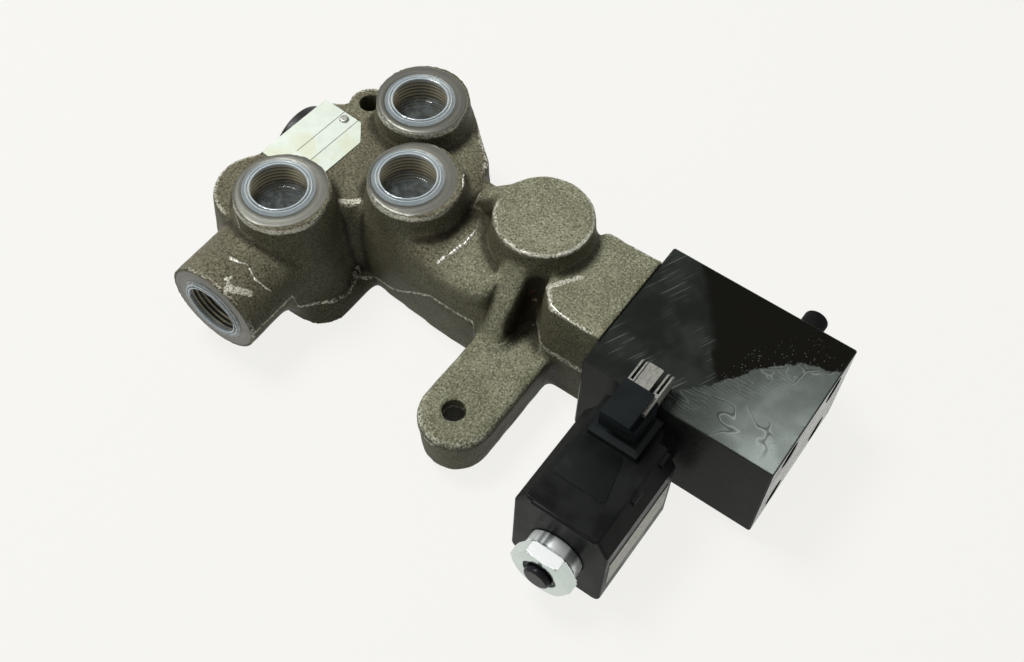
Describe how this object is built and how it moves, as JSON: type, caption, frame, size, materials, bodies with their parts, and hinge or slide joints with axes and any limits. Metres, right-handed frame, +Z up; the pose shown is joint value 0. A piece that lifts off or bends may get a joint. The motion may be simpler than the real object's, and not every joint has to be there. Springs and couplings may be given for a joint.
{
  "type": "trailer brake valve",
  "caption": "Hydraulic trailer brake valve: cast housing with threaded ports and a solenoid block with connector.",
  "frame": {"origin": "axis of the lug's bolt hole on the mounting plane", "axes": "+X along the spool bore towards the solenoid block, +Z up out of ports 1 to 3"},
  "size_m": [0.2442, 0.1504, 0.0615],
  "materials": {
    "cast_iron": "sand cast, oiled, worn edges",
    "black_block": "black finish with oil film",
    "black_plastic": "satin moulded plastic",
    "button_plastic": "glossy",
    "clear_plastic": "translucent, bluish white",
    "black_cap": "black finish",
    "plate_metal": "pale, slightly dirty",
    "rivet_metal": "dull",
    "zinc": "bright zinc plating",
    "steel": "ground",
    "yoke_steel": "dull, plated",
    "tin": "tin plated, matt",
    "spring_steel": "drawn wire",
    "screw_steel": "black oxide",
    "rubber": "moulded",
    "copper": "enamelled wire"
  },
  "bodies": {
    "root": {"valve_body": "cast_iron", "port_plug_1": "clear_plastic", "port_plug_2": "clear_plastic", "port_plug_3": "clear_plastic", "port_plug_4": "clear_plastic", "type_plate": "plate_metal", "plate_rivets": "rivet_metal", "spool_end_cap": "black_cap", "end_cap_seal": "rubber", "main_spring": "spring_steel", "solenoid_block": "black_block", "block_seals": "rubber", "block_screws": "screw_steel", "drain_nipple": "steel", "nipple_cap": "rubber", "core_tube": "steel", "pilot_spring": "spring_steel", "coil_nut": "zinc", "yoke_frame": "yoke_steel", "coil_winding": "copper", "coil_housing": "black_plastic", "coil_seals": "rubber", "contact_blades": "tin", "earth_blade": "tin"},
    "main_spool": {"main_spool": "steel"},
    "pilot_slider": {"armature": "steel", "push_pin": "steel", "pilot_spool": "steel"},
    "button": {"override_button": "button_plastic"}
  },
  "joints": [
    {"name": "main_spool_slide", "type": "slide", "parent": "root", "child": "main_spool", "axis": [-1, 0, 0], "range_m": [0, 0.006], "stiffness_N_per_m": 2000, "springref_m": -0.004, "deforming": ["main_spring"]},
    {"name": "pilot_slide", "type": "slide", "parent": "root", "child": "pilot_slider", "axis": [0, 1, 0], "range_m": [0, 0.0022], "stiffness_N_per_m": 1500, "springref_m": -0.002, "deforming": ["pilot_spring"]},
    {"name": "button_press", "type": "slide", "parent": "root", "child": "button", "axis": [0, 1, 0], "range_m": [0, 0.0022]}
  ],
  "couplings": [
    {"joint": "button_press", "follows": "pilot_slide", "ratio": 1}
  ]
}
